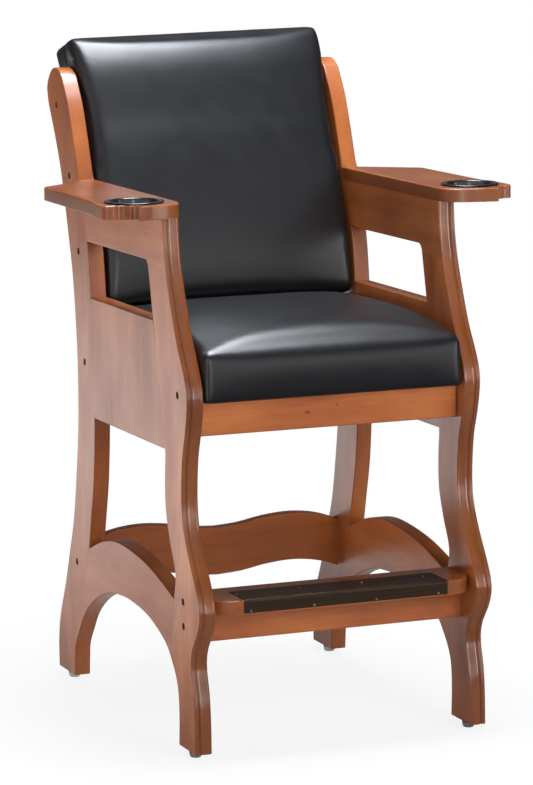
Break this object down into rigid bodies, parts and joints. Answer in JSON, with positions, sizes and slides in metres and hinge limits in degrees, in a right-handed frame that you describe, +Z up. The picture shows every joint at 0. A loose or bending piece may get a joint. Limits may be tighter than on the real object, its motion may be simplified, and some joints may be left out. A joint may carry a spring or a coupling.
{
  "type": "spectator chair",
  "caption": "Tall wooden spectator chair with padded seat and back, footrest with a metal kick plate, and broad arms with drink wells and cue notches.",
  "frame": {"origin": "on the floor under the middle of the chair's width and depth", "axes": "+X to the right of someone who looks at the chair's front, +Y from the front to the back, +Z up"},
  "size_m": [0.816, 0.8456, 1.2722],
  "materials": {
    "stained_wood": "satin",
    "hidden_wood": "matte",
    "black_vinyl": "satin",
    "black_plastic": "satin",
    "bronze_plate": "satin",
    "steel": "brushed",
    "glide_metal": "polished",
    "black_rubber": "matte"
  },
  "bodies": {
    "chair": {"left_rear_leg": "stained_wood", "right_rear_leg": "stained_wood", "left_front_leg": "stained_wood", "right_front_leg": "stained_wood", "left_upper_side_rail": "stained_wood", "right_upper_side_rail": "stained_wood", "left_side_panel": "stained_wood", "right_side_panel": "stained_wood", "left_arch_board": "stained_wood", "right_arch_board": "stained_wood", "left_frame_dowels": "hidden_wood", "right_frame_dowels": "hidden_wood", "left_arm": "stained_wood", "right_arm": "stained_wood", "left_arm_dowels": "hidden_wood", "right_arm_dowels": "hidden_wood", "seat_board": "hidden_wood", "seat_cushion": "black_vinyl", "front_seat_rail": "stained_wood", "seat_rail_dowels": "hidden_wood", "left_back_stile": "hidden_wood", "right_back_stile": "hidden_wood", "back_top_rail": "hidden_wood", "back_bottom_rail": "hidden_wood", "back_frame_dowels": "hidden_wood", "back_panel": "hidden_wood", "back_cushion": "black_vinyl", "back_cover": "black_vinyl", "footrest_board": "stained_wood", "kick_plate": "bronze_plate", "kick_plate_nails": "steel", "front_stretcher": "stained_wood", "rear_stretcher": "stained_wood", "back_bolts": "steel", "back_inserts": "steel", "seat_bolts": "steel", "seat_barrel_nuts": "steel", "footrest_bolts": "steel", "footrest_barrel_nuts": "steel", "stretcher_bolts": "steel", "stretcher_barrel_nuts": "steel", "glides": "glide_metal", "glide_cushions": "black_rubber"},
    "left_drink_well": {"left_drink_well": "black_plastic"},
    "right_drink_well": {"right_drink_well": "black_plastic"}
  },
  "joints": [
    {"name": "left_well_lift", "type": "slide", "parent": "chair", "child": "left_drink_well", "axis": [0, 0.0122, 0.9999], "range_m": [0, 0.08]},
    {"name": "right_well_lift", "type": "slide", "parent": "chair", "child": "right_drink_well", "axis": [0, 0.0122, 0.9999], "range_m": [0, 0.08]}
  ]
}
